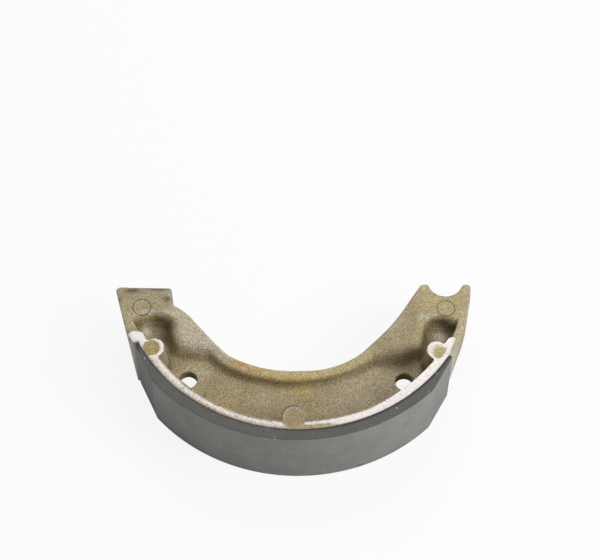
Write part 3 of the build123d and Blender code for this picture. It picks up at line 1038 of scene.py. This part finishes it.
def reach(finish, center):
    """Distance in metres from a vertical line through this point of the plan, in millimetres."""
    node = finish.nodes.new("ShaderNodeMapping")
    node.inputs["Location"].default_value = (-center[0] * mm, center[1] * mm, 0)
    node.inputs["Scale"].default_value = (1, 1, 0)
    finish.links.new(finish.place, node.inputs["Vector"])
    length = finish.nodes.new("ShaderNodeVectorMath")
    length.operation = "LENGTH"
    finish.links.new(node.outputs[0], length.inputs[0])
    return length.outputs["Value"]


print("materials before the first finish", len(bpy.data.materials))

# %% [markdown]
# The casting came out of the mould grey, was blasted with fine grit and then got a golden conversion coat
# that dried darker in the corners. A picture of metal could be wrapped round it, but it would stretch and
# repeat, and noise in space does neither. The blasted grain is about a third of a millimetre. It is a
# bump that the light plays on, and the same noise lightens and darkens the colour a little.

# %% Cast skin
cast = Finish("cast_aluminium_finish")
grain = noise(cast, 3300.0, 2.0, 0.7)
patches = noise(cast, 110.0, 3.0, 0.6)
clouds = noise(cast, 42.0, 2.0, 0.5, distortion=0.5)
skin = cast.mix(cast.ramp(patches, 0.35, 0.68), (0.272, 0.213, 0.110), (0.330, 0.266, 0.150))
skin = cast.mix(cast.value_of("pale"), skin, (0.470, 0.420, 0.310))
# Golden coat, and the painted highlight on the rim of the left cam pocket.
gold_and_highlight_here = cast.math("MULTIPLY", cast.value_of("gold_and_highlight"), cast.ramp(patches, 0.25, 0.60, 0.55, 1.0))
cloud_gold = cast.math("MULTIPLY", cast.ramp(clouds, 0.52, 0.70), 0.18)
gold_and_highlight_here = cast.math("ADD", gold_and_highlight_here, cloud_gold, clamp=True)
skin = cast.mix(gold_and_highlight_here, skin, (0.435, 0.328, 0.112))
# Painted highlights and painted pools of light, in a silvery tone.
skin = cast.mix(cast.value_of("painted_highlight"), skin, (0.520, 0.485, 0.395))
# Brown residue and painted shade in corners and pockets.
skin = cast.mix(cast.math("MULTIPLY", cast.value_of("residue_and_shade"), 0.8), skin, (0.098, 0.070, 0.020))
# Outer edges get a lighter tone, for wear and as a painted highlight.
skin = cast.mix(cast.ramp(cast.value_of("corner"), 0.44, 0.30, 0.0, 0.25), skin, (0.50, 0.45, 0.36))
orange_grain = cast.ramp(noise(cast, 420.0), 0.30, 0.60, 0.6, 1.0)
orange_here = cast.math("MULTIPLY", cast.value_of("orange"), orange_grain)
skin = cast.mix(orange_here, skin, (0.430, 0.210, 0.025))
# Painted light on the outer sides beyond the lining.
skin = cast.mix(cast.value_of("painted_lit_sides"), skin, (0.500, 0.455, 0.410))
# Dark marks and painted shade.
skin = cast.mix(cast.math("MULTIPLY", cast.value_of("smudges_and_shade"), 0.85), skin, (0.060, 0.045, 0.022))
skin = cast.mix(1.0, skin, cast.ramp(grain, 0.36, 0.66, 0.42, 1.66), "MULTIPLY")
print("cast skin nodes", len(cast.nodes))

# %% [markdown]
# The ejector pins also left two thin rings on the ends. A ring is a place with a certain distance from
# its centre, so the graph measures that distance and darkens and dents a line there. As geometry the
# lines would need a far finer mesh than the rest.

# %% Ejector rings
ring_height = cast.math("MULTIPLY", grain, 0.35)
ring_radius = 3.1 * mm
for center in (placed(5.8, 167.6), placed(8.35, 11.0)):
    distance = reach(cast, center)
    offset = cast.math("ABSOLUTE", cast.math("SUBTRACT", distance, ring_radius), 0.0)
    line = cast.ramp(offset, 0.05 * mm, 0.26 * mm, 1.0, 0.0)
    line = cast.math("MULTIPLY", line, cast.ramp(clouds, 0.35, 0.60, 0.85, 1.0))
    skin = cast.mix(cast.math("MULTIPLY", line, 0.75), skin, (0.10, 0.075, 0.035))
    ring_height = cast.math("SUBTRACT", ring_height, cast.math("MULTIPLY", line, 0.8))
print("nodes with the rings", len(cast.nodes))

# %% [markdown]
# The milled faces are bare metal: almost white, with fine scratches and a few pores. A second material on
# chosen faces would end in a staircase. Mixed in by a number on the vertices, the metal can have a ragged
# border, and noise eats into it, because the skin is uneven there.

# %% Bare metal and the whole finish
edge_noise = cast.math("MULTIPLY", noise(cast, 1300.0, 3.0, 0.6), 0.65)
bare_here = cast.ramp(cast.math("ADD", cast.value_of("bare"), edge_noise), 0.58, 0.98)
scratches = noise(cast, 1300.0, 2.0, 0.6, (1.0, 2.6, 1.0))
bright = cast.mix(cast.ramp(scratches, 0.30, 0.56), (0.52, 0.47, 0.435), (0.735, 0.690, 0.665))
cast.put(cast.shader.inputs["Base Color"], cast.mix(bare_here, skin, bright))
cast.put(cast.shader.inputs["Metallic"], cast.ramp(bare_here, 0.0, 1.0, 0.15, 0.40))
cast.put(cast.shader.inputs["Roughness"], cast.ramp(bare_here, 0.0, 1.0, 0.58, 0.42))
wave_bump = bump(cast, noise(cast, 170.0, 2.0), 0.35, 0.4 * mm)
cast.put(cast.shader.inputs["Normal"], bump(cast, ring_height, 0.8, 0.3 * mm, wave_bump))
casting.data.materials.append(cast.material)
print("casting finish nodes", len(cast.nodes))

# %% [markdown]
# The friction material is a hard composite. Its cut sides stay dark. Its face is ground to the radius of
# the drum and is lighter, and a few pale flecks of fibre and metal show in both. Two materials could do
# it, but one that mixes both by a number on the vertices keeps the flecks running over the edge.

# %% Finish of the lining
friction = Finish("friction_finish")
side_here = friction.value_of("cut_side")
dust = noise(friction, 1700.0, 3.0, 0.6)
mottle = noise(friction, 120.0, 3.0, 0.6)
side_color = friction.mix(friction.ramp(mottle, 0.3, 0.7), (0.074, 0.074, 0.068), (0.088, 0.088, 0.081))
face_color = friction.mix(friction.ramp(mottle, 0.3, 0.7), (0.232, 0.227, 0.212), (0.268, 0.263, 0.248))
chamfer_here = friction.math("MULTIPLY", friction.value_of("chamfer"), 0.25)
face_color = friction.mix(chamfer_here, face_color, (0.075, 0.075, 0.070))
friction_color = friction.mix(side_here, face_color, side_color)
flecks = friction.ramp(noise(friction, 1100.0, 1.0, 0.4), 0.750, 0.775)
friction_color = friction.mix(flecks, friction_color, (0.55, 0.53, 0.47))
friction_color = friction.mix(friction.value_of("seam"), friction_color, (0.020, 0.016, 0.012))
friction_color = friction.mix(1.0, friction_color, friction.ramp(dust, 0.3, 0.7, 0.90, 1.10), "MULTIPLY")
friction.put(friction.shader.inputs["Base Color"], friction_color)
friction.shader.inputs["Roughness"].default_value = 0.6
friction.put(friction.shader.inputs["Normal"], bump(friction, dust, 0.3, 0.1 * mm))
lining.data.materials.append(friction.material)
print("lining finish nodes", len(friction.nodes))

# %% [markdown]
# The baked adhesive is nearly black, with brown stretches where it was squeezed out thin. One noise that
# mixes two colours is enough for so thin a line.

# %% Finish of the glue line
glue = Finish("glue_finish")
thin = glue.ramp(noise(glue, 120.0, 2.0), 0.45, 0.68)
glue.put(glue.shader.inputs["Base Color"], glue.mix(thin, (0.016, 0.014, 0.011), (0.10, 0.060, 0.030)))
glue.shader.inputs["Roughness"].default_value = 0.5
film.data.materials.append(glue.material)
print("glue finish nodes", len(glue.nodes))

# %% [markdown]
# The shoe lies on a white table, as in a catalogue picture. A shadow catcher would need white put behind
# it later. Here the floor glows for the camera only, so it looks white and keeps a soft shadow, while the
# shoe gets no more light from it than from any pale floor.

# %% Floor
half_floor = 3.0
drop = -0.2 * mm
floor_mesh = bpy.data.meshes.new("floor")
floor_corners = [(-half_floor, -half_floor, drop), (half_floor, -half_floor, drop)]
floor_corners += [(half_floor, half_floor, drop), (-half_floor, half_floor, drop)]
floor_mesh.from_pydata(floor_corners, [], [(0, 1, 2, 3)])
floor = bpy.data.objects.new("floor", floor_mesh)
bpy.context.scene.collection.objects.link(floor)
ground = Finish("pale_floor")
ground.shader.inputs["Base Color"].default_value = (0.80, 0.80, 0.80, 1)
ground.shader.inputs["Roughness"].default_value = 0.9
glow = ground.nodes.new("ShaderNodeEmission")
blend = ground.nodes.new("ShaderNodeMixShader")
seen = ground.nodes.new("ShaderNodeLightPath").outputs["Is Camera Ray"]
ground.put(blend.inputs[0], ground.math("MULTIPLY", seen, 0.88))
ground.links.new(ground.shader.outputs[0], blend.inputs[1])
ground.links.new(glow.outputs[0], blend.inputs[2])
ground.links.new(blend.outputs[0], ground.nodes["Material Output"].inputs["Surface"])
floor_mesh.materials.append(ground.material)
print("floor at", drop, "m")

# %% [markdown]
# Soft light comes from everywhere and a little more from large lamps. The one on the right is the
# strongest: on the real picture the right end of the friction face is the brightest.

# %% World and lamps
world = bpy.data.worlds.new("studio")
bpy.context.scene.world = world
world.use_nodes = True
backdrop = world.node_tree
sky = backdrop.nodes["Background"]
sky.inputs["Color"].default_value = (0.98, 0.99, 1.0, 1)
sky.inputs["Strength"].default_value = 0.34
white = backdrop.nodes.new("ShaderNodeBackground")
white.inputs["Color"].default_value = (1, 1, 1, 1)
white.inputs["Strength"].default_value = 1.0
camera_ray = backdrop.nodes.new("ShaderNodeLightPath").outputs["Is Camera Ray"]
choice = backdrop.nodes.new("ShaderNodeMixShader")
backdrop.links.new(camera_ray, choice.inputs[0])
backdrop.links.new(sky.outputs[0], choice.inputs[1])
backdrop.links.new(white.outputs[0], choice.inputs[2])
backdrop.links.new(choice.outputs[0], backdrop.nodes["World Output"].inputs["Surface"])


def lamp(name, place, edge, watts):
    """A square area light that faces the shoe."""
    target = Vector((0.0, -0.03, 0.01))
    data = bpy.data.lights.new(name, "AREA")
    data.shape = "SQUARE"
    data.size = edge
    data.energy = watts
    item = bpy.data.objects.new(name, data)
    item.location = place
    item.rotation_euler = (target - Vector(place)).to_track_quat("-Z", "Y").to_euler()
    bpy.context.scene.collection.objects.link(item)


lamp("right_light", (0.62, -0.20, 0.55), 0.45, 4.6)
lamp("back_light", (0.0, 0.50, 0.70), 0.45, 3.0)
print("lamps", len(bpy.data.lights))

# %% [markdown]
# The camera looks down at 59 degrees from 0.7 m away, through a long lens. Its place could be tried out
# by eye. It was found by matching the outlines of the shoe in the picture, because then every size can be
# measured on it.

# %% Camera
camera_data = bpy.data.cameras.new("camera")
camera_data.sensor_width = 36.0
camera_data.lens = 115.65
camera_data.clip_end = 20.0
camera = bpy.data.objects.new("camera", camera_data)
camera_place = Vector((8.24, -343.39, 600.2)) * mm
camera_target = Vector((0.526, 13.12, 0.0)) * mm
camera.location = camera_place
camera.rotation_euler = (camera_target - camera_place).to_track_quat("-Z", "Y").to_euler()
bpy.context.scene.collection.objects.link(camera)
bpy.context.scene.camera = camera
bpy.context.scene.view_settings.view_transform = "Standard"
print("camera distance", round((camera_target - camera_place).length, 3), "m")
